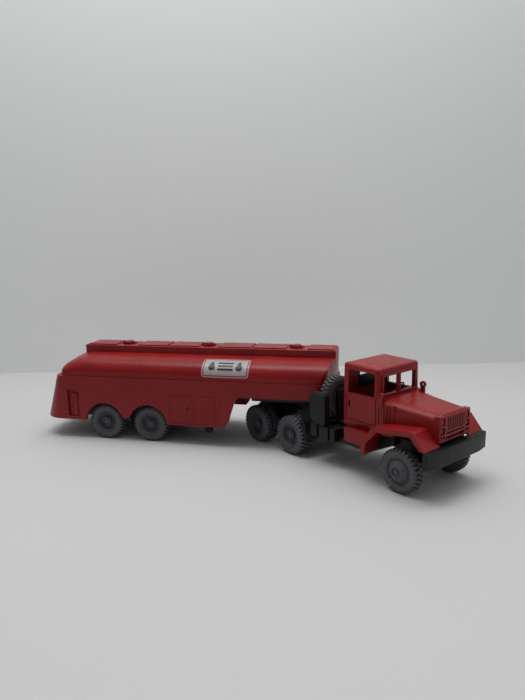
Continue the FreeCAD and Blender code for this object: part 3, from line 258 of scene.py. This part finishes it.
def drawn_steel(name):
    """Bright drawn wire: fine lengthwise streaks and a little tarnish."""
    graph = Graph(name)
    stretch = graph.add("ShaderNodeMapping", {"Vector": graph.place(), "Scale": (900.0, 60.0, 900.0)})
    noise = graph.add("ShaderNodeTexNoise",
                      {"Vector": stretch.outputs["Vector"], "Scale": 4.0, "Detail": 3.0})
    streaks = noise.outputs["Fac"]
    tarnish = graph.noise(300.0, 4.0)
    colour = graph.mix(graph.ramp(tarnish, 0.4, 0.65), (0.50, 0.50, 0.50), (0.36, 0.34, 0.31))
    normal = graph.bump(streaks, 0.004 * MM)
    return graph.finish({"Base Color": colour, "Metallic": 1.0,
                         "Roughness": graph.ramp(streaks, 0.3, 0.7, 0.28, 0.42), "Normal": normal})


RED = moulded_plastic("red_moulding", (0.228, 0.0070, 0.0072), (0.278, 0.0095, 0.0100),
                      (0.38, 0.05, 0.048), 0.33, 1.0)
BLACK = moulded_plastic("black_moulding", (0.0055, 0.0056, 0.0065), (0.0085, 0.0086, 0.0098),
                        (0.035, 0.036, 0.040), 0.40, 1.0)
WHEEL = moulded_plastic("wheel_moulding", (0.074, 0.070, 0.079), (0.095, 0.091, 0.101),
                        (0.14, 0.14, 0.147), 0.50, 1.4)
STEEL = drawn_steel("axle_wire")
SIGN_WHITE = printed_film("sign_white", (0.42, 0.38, 0.38), (0.35, 0.32, 0.32))
SIGN_RED = printed_film("sign_red", (0.30, 0.02, 0.022), (0.36, 0.05, 0.05))
SIGN_BLACK = printed_film("sign_black", (0.012, 0.012, 0.014), (0.03, 0.03, 0.034))

SLOT_MATERIAL = {"red_plastic": RED, "black_plastic": BLACK, "wheel_plastic": WHEEL, "axle_steel": STEEL}


# ------------------------------------------------------------------ CAD nodes
def soften(obj):
    """Joins the imported facets, rounds the moulded edges and smooths the curved faces."""
    mesh = obj.data
    if "custom_normal" in mesh.attributes:
        mesh.attributes.remove(mesh.attributes["custom_normal"])
    mesh.polygons.foreach_set("use_smooth", [True] * len(mesh.polygons))
    weld = obj.modifiers.new("join_facets", "WELD")
    weld.merge_threshold = WELD_DISTANCE
    bevel = obj.modifiers.new("moulded_edge", "BEVEL")
    bevel.width = EDGE_ROUND
    bevel.segments = 2
    bevel.limit_method = "ANGLE"
    bevel.angle_limit = EDGE_ANGLE
    bevel.use_clamp_overlap = True
    bevel.harden_normals = True


def dress_cad_nodes():
    """Gives each CAD node the material that the record names for it, and softens its edges."""
    slots = {entry["node"]: entry["material_slot"] for entry in frame["record"]["subparts"]}
    for name, obj in frame["nodes"].items():
        obj.data.materials.clear()
        obj.data.materials.append(SLOT_MATERIAL[slots[name]])
        soften(obj)


# ------------------------------------------------------------------ mesh helpers
def mesh_object(name, bm, material, smooth_angle=math.radians(35)):
    mesh = bpy.data.meshes.new(name)
    bmesh.ops.recalc_face_normals(bm, faces=bm.faces)
    for face in bm.faces:
        face.smooth = True
    bm.to_mesh(mesh)
    bm.free()
    mesh.materials.append(material)
    mesh.set_sharp_from_angle(angle=smooth_angle)
    obj = bpy.data.objects.new(name, mesh)
    bpy.context.scene.collection.objects.link(obj)
    return obj


# ------------------------------------------------------------------ wheels
def tyre_profile(width, radius, rim_r, start):
    """Outline of one tyre from its outer bead to its inner bead.

    Each entry is (distance in from the outer face, radius, how deep the tread is cut there)."""
    wall = radius - rim_r
    middle = width / 2
    half = [(0.40, rim_r, 0.0), (0.14, rim_r + 0.10, 0.0), (0.04, rim_r + 0.28, 0.0),
            (0.11, rim_r + 0.40, 0.0), (0.05, rim_r + 0.52, 0.0), (0.0, rim_r + 0.45 * wall, 0.0),
            (0.02, radius - 1.05, 0.0), (0.07, radius - 0.90, 0.05), (0.11, radius - 0.55, 0.85),
            (0.20, radius - 0.28, 1.0), (0.36, radius - 0.08, 1.0), (0.58, radius, 1.0),
            (middle - 0.16, radius, 1.0), (middle - 0.12, radius, 0.35)]
    other = [(width - a, r, cut) for a, r, cut in reversed(half)]
    return [(start + a, r, cut) for a, r, cut in half + other]


def revolve(bm, outline):
    """Turns a closed outline of (y, radius, cut, shift) round local Y.

    cut is how far the tread is lowered in a groove; shift turns that part by half a lug pitch."""
    pitch = 2 * math.pi / LUGS
    steps = [((lug + share) * pitch, groove) for lug in range(LUGS) for share, groove in LUG_PROFILE]
    rings = []
    for angle, groove in steps:
        ring = []
        for y, radius, cut, shift in outline:
            turn = angle + shift * pitch / 2
            r = radius - LUG_DEPTH * cut * groove
            ring.append(bm.verts.new((r * math.sin(turn) * MM, y * MM, r * math.cos(turn) * MM)))
        rings.append(ring)
    count = len(outline)
    for first, second in zip(rings, rings[1:] + rings[:1]):
        for low in range(count):
            high = (low + 1) % count
            bm.faces.new((first[low], first[high], second[high], second[low]))


def lathe(bm, outline, segments, centre=(0.0, 0.0)):
    """Turns an outline of (y, radius) round local Y, about (x, z); ends on the axis are closed."""
    cx, cz = centre
    rings = []
    for y, radius in outline:
        if radius == 0.0:
            rings.append([bm.verts.new((cx * MM, y * MM, cz * MM))])
            continue
        ring = []
        for step in range(segments):
            angle = 2 * math.pi * step / segments
            ring.append(bm.verts.new(((cx + radius * math.sin(angle)) * MM, y * MM,
                                      (cz + radius * math.cos(angle)) * MM)))
        rings.append(ring)
    for first, second in zip(rings, rings[1:]):
        for step in range(segments):
            ahead = (step + 1) % segments
            if len(first) == 1:
                bm.faces.new((first[0], second[step], second[ahead]))
            elif len(second) == 1:
                bm.faces.new((first[step], first[ahead], second[0]))
            else:
                bm.faces.new((first[step], first[ahead], second[ahead], second[step]))


def domed_disc(rim_r, hub_y, floor_y):
    """Outline of a disc that rises in a cone to a lipped hub with a small boss in it, as (y, radius)."""
    lip_r = 1.66
    boss_r = 0.52
    recess_y = hub_y + 0.45
    return [(RIM_DEPTH, rim_r + RIM_LIP), (0.10, rim_r), (0.06, rim_r - 0.10), (0.14, rim_r - 0.22),
            (floor_y, rim_r - 0.30), (floor_y, rim_r - 0.42), (0.18, rim_r - 0.55), (0.02, rim_r - 0.85),
            (hub_y * 0.75, lip_r + 0.22), (hub_y + 0.06, lip_r + 0.05), (hub_y, lip_r - 0.06),
            (hub_y, lip_r - 0.20), (hub_y + 0.10, lip_r - 0.28), (recess_y, lip_r - 0.36),
            (recess_y + 0.05, boss_r + 0.25), (recess_y - 0.02, boss_r + 0.05), (hub_y + 0.12, boss_r),
            (hub_y + 0.04, boss_r - 0.10), (hub_y + 0.02, 0.0)]


def dished_disc(rim_r, hub_y, floor_y):
    """Outline of a sunk disc with an upright ringed hub in its middle, as (y, radius)."""
    opening_r = rim_r - 0.38
    ring_r = 0.82
    return [(RIM_DEPTH, rim_r + RIM_LIP), (0.10, rim_r), (0.05, rim_r - 0.10), (0.10, rim_r - 0.24),
            (0.30, opening_r), (floor_y * 0.55, opening_r - 0.10), (floor_y - 0.22, opening_r - 0.24),
            (floor_y, opening_r - 0.50), (floor_y, HUB_R + 0.35), (floor_y - 0.12, HUB_R + 0.12),
            (hub_y + 0.30, HUB_R), (hub_y + 0.06, HUB_R - 0.02), (hub_y, HUB_R - 0.12),
            (hub_y, HUB_R - 0.26), (hub_y + 0.08, HUB_R - 0.34), (hub_y + 0.22, HUB_R - 0.38),
            (hub_y + 0.22, ring_r + 0.10), (hub_y + 0.10, ring_r), (hub_y - 0.10, ring_r - 0.04),
            (hub_y - 0.16, ring_r - 0.14), (hub_y - 0.14, 0.0)]


DISC_OUTLINE = {"domed": domed_disc, "dished": dished_disc}


def disc_back(width, rim_r):
    """Outline of the inner side of a disc, with a shallow ring sunk in it, as (y, radius)."""
    inner = width - 0.35
    sunk = inner - 0.4
    return [(inner, 0.0), (inner, HUB_R), (sunk, HUB_R + 0.15), (sunk, rim_r - 0.5),
            (inner, rim_r - 0.15), (inner + 0.1, rim_r + RIM_LIP), (RIM_DEPTH, rim_r + RIM_LIP)]


def add_nuts(bm, floor_y):
    """A ring of hexagonal wheel nuts that stand on the disc's floor."""
    root = floor_y + 0.10
    crown = floor_y - NUT_HEIGHT
    nut = [(root, 0.0), (root, NUT_R), (crown + NUT_CHAMFER, NUT_R), (crown, NUT_R - NUT_CHAMFER),
           (crown, 0.0)]
    for index in range(NUTS):
        angle = 2 * math.pi * (index + 0.5) / NUTS
        lathe(bm, nut, 6, (NUT_CIRCLE_R * math.sin(angle), NUT_CIRCLE_R * math.cos(angle)))


def add_tyres(bm, radius, width, tyres, rim_r):
    gap = DUAL_GAP if tyres == 2 else 0.0
    tread = (width - gap) / tyres
    for index in range(tyres):
        start = index * (tread + gap)
        outline = []
        for y, r, cut in tyre_profile(tread, radius, rim_r, start):
            outline.append((y, r, cut, 1 if y > start + tread / 2 else 0))
        revolve(bm, outline)


def wheel_mesh(name, radius, width, tyres, style):
    """One wheel: lugged tyres, disc, hub and nuts.  Local -Y is its outer side, y 0 its outer face."""
    shape, hub_y, floor_y = style
    bm = bmesh.new()
    rim_r = radius * RIM_SHARE
    add_tyres(bm, radius, width, tyres, rim_r)
    disc = DISC_OUTLINE[shape](rim_r, hub_y, floor_y)
    lathe(bm, disc, DISC_SEGMENTS)
    lathe(bm, disc_back(width, rim_r), DISC_SEGMENTS)
    if shape == "dished":
        add_nuts(bm, floor_y)
    bmesh.ops.remove_doubles(bm, verts=bm.verts, dist=0.001 * MM)
    bmesh.ops.recalc_face_normals(bm, faces=bm.faces)
    for face in bm.faces:
        face.smooth = True
    mesh = bpy.data.meshes.new(name)
    bm.to_mesh(mesh)
    bm.free()
    mesh.materials.append(WHEEL)
    mesh.set_sharp_from_angle(angle=math.radians(38))
    return mesh


def node_points(node):
    return [vertex.co.copy() for vertex in frame["nodes"][node].data.vertices]


def measure_wheel(node, axis, centre):
    """Centre of the tyre's outer face, outward direction, radius and width of a CAD wheel."""
    samples = []
    for point in node_points(node):
        along = (point - centre).dot(axis)
        samples.append((along, (point - centre - axis * along).length))
    radius = max(reach for along, reach in samples)
    tyre = [along for along, reach in samples if reach > TREAD_SHARE * radius]
    low, high = min(tyre), max(tyre)
    face = high if abs(high) > abs(low) else low
    outward = axis if face > 0 else -axis
    return centre + axis * face, outward, radius, high - low


def place_wheel(name, mesh, face_centre, outward, roll):
    """Sets a wheel with its outer side towards outward, turned by roll about its own axis.

    The place goes into the mesh, so the object stays at the origin."""
    side = (-outward).cross(UP).normalized()
    turn = Matrix((side, -outward, UP)).transposed().to_4x4()
    placed = mesh.copy()
    placed.name = name
    placed.transform(Matrix.Translation(face_centre) @ turn @ Matrix.Rotation(roll, 4, "Y"))
    obj = bpy.data.objects.new(name, placed)
    bpy.context.scene.collection.objects.link(obj)
    return obj


def build_wheels():
    joints = {joint["child"]: joint for joint in frame["joints"]}
    count = 0
    for body, style in HUB_STYLE.items():
        joint = joints[body]
        axis = Vector(joint["axis"]).normalized()
        mesh = None
        for node in frame["record"]["behaviour"]["bodies"][body]:
            if "wheel" not in node:
                continue
            face, outward, radius, width = measure_wheel(node, axis, Vector(joint["pos_m"]))
            if mesh is None:
                tyres = 2 if width / radius > DUAL_WIDTH else 1
                mesh = wheel_mesh(body + "_wheel", radius / MM, width / MM, tyres, style)
            obj = place_wheel(node + "_detailed", mesh, face, outward, ROLL_STEP * count)
            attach(obj, body)
            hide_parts(node)
            count += 1
    build_spare(joints)


def build_spare(joints):
    """The spare hangs behind the cab with its axis along the tractor and its dished side to the rear."""
    sideways = Vector(joints["front_axle"]["axis"]).normalized()
    forward = sideways.cross(UP).normalized()
    cab_low, cab_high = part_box("cab_body")
    spare_low, spare_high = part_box("spare_wheel")
    middle = (spare_low + spare_high) / 2
    if (((cab_low + cab_high) / 2) - middle).dot(forward) < 0:
        forward = -forward
    points = node_points("spare_wheel")
    along = [(point - middle).dot(forward) for point in points]
    across = [(point - middle).dot(sideways) for point in points]
    middle += sideways * (min(across) + max(across)) / 2
    radius = (max(across) - min(across)) / 2
    face = middle + forward * min(along)
    mesh = wheel_mesh("wheel_spare", radius / MM, (max(along) - min(along)) / MM, 1, SPARE_STYLE)
    obj = place_wheel("spare_wheel_detailed", mesh, face, -forward, SPARE_ROLL)
    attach(obj, "tractor")
    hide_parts("spare_wheel")


# ------------------------------------------------------------------ signs on the tank
def tank_side_curve(side):
    """Points (y, z) up one side of the tank at the sign's middle, in millimetres.

    They are found by probing the shell from outside, from its foot towards the catwalk box."""
    tank = frame["nodes"]["tank_shell"]
    low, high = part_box("tank_shell")
    root = Vector((SIGN_MIDDLE_X * MM, 0.0, low.z + 0.05 * MM))
    points = []
    for step in range(PROBE_STEPS + 1):
        angle = PROBE_ANGLE * step / PROBE_STEPS
        direction = Vector((0.0, side * math.cos(angle), math.sin(angle)))
        hit, place, normal, index = tank.ray_cast(root + direction * PROBE_DISTANCE, -direction)
        if hit:
            points.append((place.y / MM, place.z / MM))
    return points


class SideSurface:
    """Maps (along, up) on the sign to a place on the tank side, a small height above it."""

    def __init__(self, side):
        self.side = side
        self.points = tank_side_curve(side)
        self.lengths = [0.0]
        for (ya, za), (yb, zb) in zip(self.points, self.points[1:]):
            self.lengths.append(self.lengths[-1] + math.hypot(yb - ya, zb - za))

    def section(self, up):
        lengths = self.lengths
        index = 1
        while index < len(lengths) - 1 and lengths[index] < up:
            index += 1
        share = (up - lengths[index - 1]) / (lengths[index] - lengths[index - 1])
        ya, za = self.points[index - 1]
        yb, zb = self.points[index]
        return ya + (yb - ya) * share, za + (zb - za) * share

    def place(self, along, up, height):
        reach = 0.5
        y, z = self.section(up)
        ya, za = self.section(up - reach)
        yb, zb = self.section(up + reach)
        tangent = Vector((0.0, yb - ya, zb - za)).normalized()
        normal = Vector((0.0, tangent.z, -tangent.y)) * self.side
        if normal.y * self.side < 0:
            normal = -normal
        point = Vector((SIGN_MIDDLE_X - self.side * along, y, z)) + normal * height
        return point * MM


def rows_of(low, high, count):
    return [low + (high - low) * step / count for step in range(count + 1)]


def border(lines):
    """The outermost points of a grid, once round."""
    right = [line[-1] for line in lines[1:]]
    left = [line[0] for line in lines[-2:0:-1]]
    return lines[0] + right + lines[-1][-2::-1] + left


def add_patch(bm, surface, rows, edges_at, base, top, columns):
    """Closed thin patch on the tank side; edges_at(up) gives its left and right end on that row."""
    def grid(height):
        lines = []
        for up in rows:
            left, right = edges_at(up)
            line = []
            for along in rows_of(left, right, columns):
                line.append(bm.verts.new(surface.place(along, SIGN_RISE + up, height)))
            lines.append(line)
        return lines

    outer = grid(top)
    inner = grid(base)
    for lines in (outer, inner):
        for first, second in zip(lines, lines[1:]):
            for step in range(columns):
                bm.faces.new((first[step], first[step + 1], second[step + 1], second[step]))
    rim_outer = border(outer)
    rim_inner = border(inner)
    count = len(rim_outer)
    for step in range(count):
        ahead = (step + 1) % count
        bm.faces.new((rim_outer[step], rim_outer[ahead], rim_inner[ahead], rim_inner[step]))


def rounded_rectangle(half_width, half_height, corner):
    """Left and right end at a given height of a rectangle with round corners."""
    def ends(up):
        over = abs(up) - (half_height - corner)
        reach = half_width
        if over > 0:
            reach = half_width - corner + math.sqrt(max(0.0, corner ** 2 - over ** 2))
        return -reach, reach
    return ends


def drop_shape(centre, radius, height):
    """Left and right end of a plain liquid drop standing on its round end."""
    def ends(up):
        level = up - centre[1]
        shoulder = radius * DROP_SHOULDER
        if level <= shoulder:
            reach = math.sqrt(max(0.0, radius ** 2 - level ** 2))
        else:
            share = (height - level) / (height - shoulder)
            reach = math.sqrt(1 - DROP_SHOULDER ** 2) * radius * max(0.0, share) ** 1.25
        return centre[0] - reach, centre[0] + reach
    return ends


def shape_rows(half_height, corner, steps=5, middle=10):
    """Row heights for a round-cornered shape, closer together at its corners."""
    straight_end = half_height - corner
    quarter = [math.pi / 2 * step / steps for step in range(steps + 1)]
    edge = [straight_end + corner * math.sin(angle) for angle in quarter]
    edge[-1] = half_height - 0.002
    straight = rows_of(-straight_end, straight_end, middle)[1:-1]
    return [-value for value in reversed(edge)] + straight + edge


def sign_piece(name, side, surface, material, draw):
    bm = bmesh.new()
    draw(bm, surface)
    obj = mesh_object("%s_%s" % (name, "right" if side < 0 else "left"), bm, material)
    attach(obj, "trailer")


def draw_plate(bm, surface, inset, corner, base, top):
    """The sign's rounded rectangle, drawn in from its edge by inset."""
    half_width = SIGN_WIDTH / 2 - inset
    half_height = SIGN_HEIGHT / 2 - inset
    shape = rounded_rectangle(half_width, half_height, corner)
    add_patch(bm, surface, shape_rows(half_height, corner), shape, base, top, SIGN_COLUMNS)


def draw_drops(bm, surface, base, top):
    for centre in DROP_CENTRES:
        rows = rows_of(centre[1] - DROP_RADIUS + 0.002, centre[1] + DROP_HEIGHT - 0.05, DROP_ROWS)
        add_patch(bm, surface, rows, drop_shape(centre, DROP_RADIUS, DROP_HEIGHT), base, top, 8)


def draw_bars(bm, surface, base, top):
    shape = rounded_rectangle(BAR_HALF_WIDTH, BAR_HALF_HEIGHT, BAR_CORNER)
    for level in BAR_LEVELS:
        def ends(up):
            return shape(up - level)

        rows = [level + row for row in shape_rows(BAR_HALF_HEIGHT, BAR_CORNER, 4, 2)]
        add_patch(bm, surface, rows, ends, base, top, 10)


def build_signs():
    """A generic fuel sign on each side of the tank: white plate, red line, plain drops and bars."""
    face = SIGN_THICKNESS

    def plate(bm, surface):
        draw_plate(bm, surface, 0.0, SIGN_CORNER, -0.02, face)

    def band(bm, surface):
        draw_plate(bm, surface, BAND_INSET, BAND_CORNER, face - 0.01, face - 0.01 + INK_THICKNESS)

    def field(bm, surface):
        draw_plate(bm, surface, FIELD_INSET, FIELD_CORNER, face + 0.01, face + 0.01 + INK_THICKNESS)

    def marks(bm, surface):
        base = face + 0.03
        draw_drops(bm, surface, base, base + INK_THICKNESS)
        draw_bars(bm, surface, base, base + INK_THICKNESS)

    for side in (-1, 1):
        surface = SideSurface(side)
        sign_piece("sign_plate", side, surface, SIGN_WHITE, plate)
        sign_piece("sign_band", side, surface, SIGN_RED, band)
        sign_piece("sign_field", side, surface, SIGN_WHITE, field)
        sign_piece("sign_marks", side, surface, SIGN_BLACK, marks)


# ------------------------------------------------------------------ set, light and camera
def build_stage():
    """Pale tabletop that runs up into a backdrop square to the view."""
    bend = BACKDROP_BEND
    start = BACKDROP_DISTANCE - bend
    outline = [(TABLE_NEAR_END, 0.0), (start, 0.0)]
    for step in range(1, BACKDROP_BEND_STEPS + 1):
        angle = math.pi / 2 * step / BACKDROP_BEND_STEPS
        outline.append((start + bend * math.sin(angle), bend - bend * math.cos(angle)))
    outline.append((BACKDROP_DISTANCE, BACKDROP_TOP))
    ahead = Vector((VIEW_LOOK.x, VIEW_LOOK.y, 0.0)).normalized()
    aside = ahead.cross(UP)
    foot = Vector((VIEW_PLACE.x, VIEW_PLACE.y, 0.0))
    bm = bmesh.new()
    rows = []
    for distance, z in outline:
        row = []
        for x in (-BACKDROP_HALF_WIDTH, BACKDROP_HALF_WIDTH):
            row.append(bm.verts.new(foot + ahead * distance + aside * x + UP * z))
        rows.append(row)
    for first, second in zip(rows, rows[1:]):
        bm.faces.new((first[0], first[1], second[1], second[0]))
    mesh_object("tabletop", bm, table_paper(ahead), math.radians(60))


def table_paper(ahead):
    """Matt paper, its wall painted paler than the table to stand in for the light it lacks; the wall can't be seen
    from behind, so it never hides the toy.
    """
    graph = Graph("tabletop")
    height = graph.add("ShaderNodeSeparateXYZ", {"Vector": graph.place()}).outputs["Z"]
    clouds = graph.ramp(graph.noise(3.0, 3.0), 0.3, 0.7)
    tone = graph.mix(clouds, (0.565, 0.56, 0.555), (0.595, 0.59, 0.585))
    # painted light: above the table's crease the paper gets a paler colour, to brighten the less lit wall
    tone = graph.mix(graph.ramp(height, 0.0002, 0.0012), tone, (0.85, 0.86, 0.85))
    graph.finish({"Base Color": tone, "Roughness": 0.62,
                  "Normal": graph.bump(graph.noise(900.0, 2.0), 0.01 * MM)})
    viewer = graph.add("ShaderNodeNewGeometry").outputs["Incoming"]
    from_behind = graph.add("ShaderNodeVectorMath", {0: viewer, 1: ahead}, operation="DOT_PRODUCT")
    unseen = graph.math("MULTIPLY", graph.math("GREATER_THAN", from_behind.outputs["Value"], 0.0),
                        graph.math("GREATER_THAN", height, 2 * MM))
    return graph.hide_where(unseen)


def area_light(name, place, target, size, power, colour):
    light = bpy.data.lights.new(name, "AREA")
    light.shape = "RECTANGLE"
    light.size, light.size_y = size
    light.energy = power
    light.color = colour
    obj = bpy.data.objects.new(name, light)
    bpy.context.scene.collection.objects.link(obj)
    obj.location = place
    obj.rotation_euler = (Vector(target) - Vector(place)).to_track_quat("-Z", "Y").to_euler()


def build_sky():
    """Soft daylight, brightest high up and behind the toy."""
    world = bpy.data.worlds.new("studio")
    world.use_nodes = True
    graph = Graph("studio_sky", world.node_tree)
    direction = graph.add("ShaderNodeTexCoord").outputs["Generated"]
    axes = graph.add("ShaderNodeSeparateXYZ", {"Vector": direction}).outputs
    high = graph.ramp(axes["Z"], 0.0, 0.6)
    behind = graph.ramp(axes["Y"], -1.0, 1.0, WORLD_FRONT_SHARE, 1.0)
    strength = graph.math("MULTIPLY", graph.math("MULTIPLY", high, behind), WORLD_LIGHT)
    sky = graph.add("ShaderNodeBackground", {"Color": (0.95, 0.97, 1.0, 1.0), "Strength": strength})
    output = graph.add("ShaderNodeOutputWorld")
    graph.tree.links.new(sky.outputs["Background"], output.inputs["Surface"])
    bpy.context.scene.world = world


def build_lights():
    for name, place, target, size, power, colour in LIGHTS:
        area_light(name, place, target, size, power, colour)


def build_camera():
    """The viewpoint: level with the tractor, slightly above it, leaning by about a degree."""
    camera = bpy.data.cameras.new("view")
    camera.sensor_width = VIEW_SENSOR
    camera.lens = VIEW_LENS
    camera.clip_start = 0.01
    camera.clip_end = 20.0
    obj = bpy.data.objects.new("view", camera)
    bpy.context.scene.collection.objects.link(obj)
    turn = VIEW_LOOK.to_track_quat("-Z", "Y").to_matrix().to_4x4()
    obj.matrix_world = Matrix.Translation(VIEW_PLACE) @ turn @ Matrix.Rotation(VIEW_LEAN, 4, "Z")
    bpy.context.scene.camera = obj


def build_view_settings():
    settings = bpy.context.scene.view_settings
    settings.view_transform = "Standard"
    settings.look = "None"
    settings.exposure = 0.0


dress_cad_nodes()
build_wheels()
build_signs()
build_stage()
build_sky()
build_lights()
build_camera()
build_view_settings()
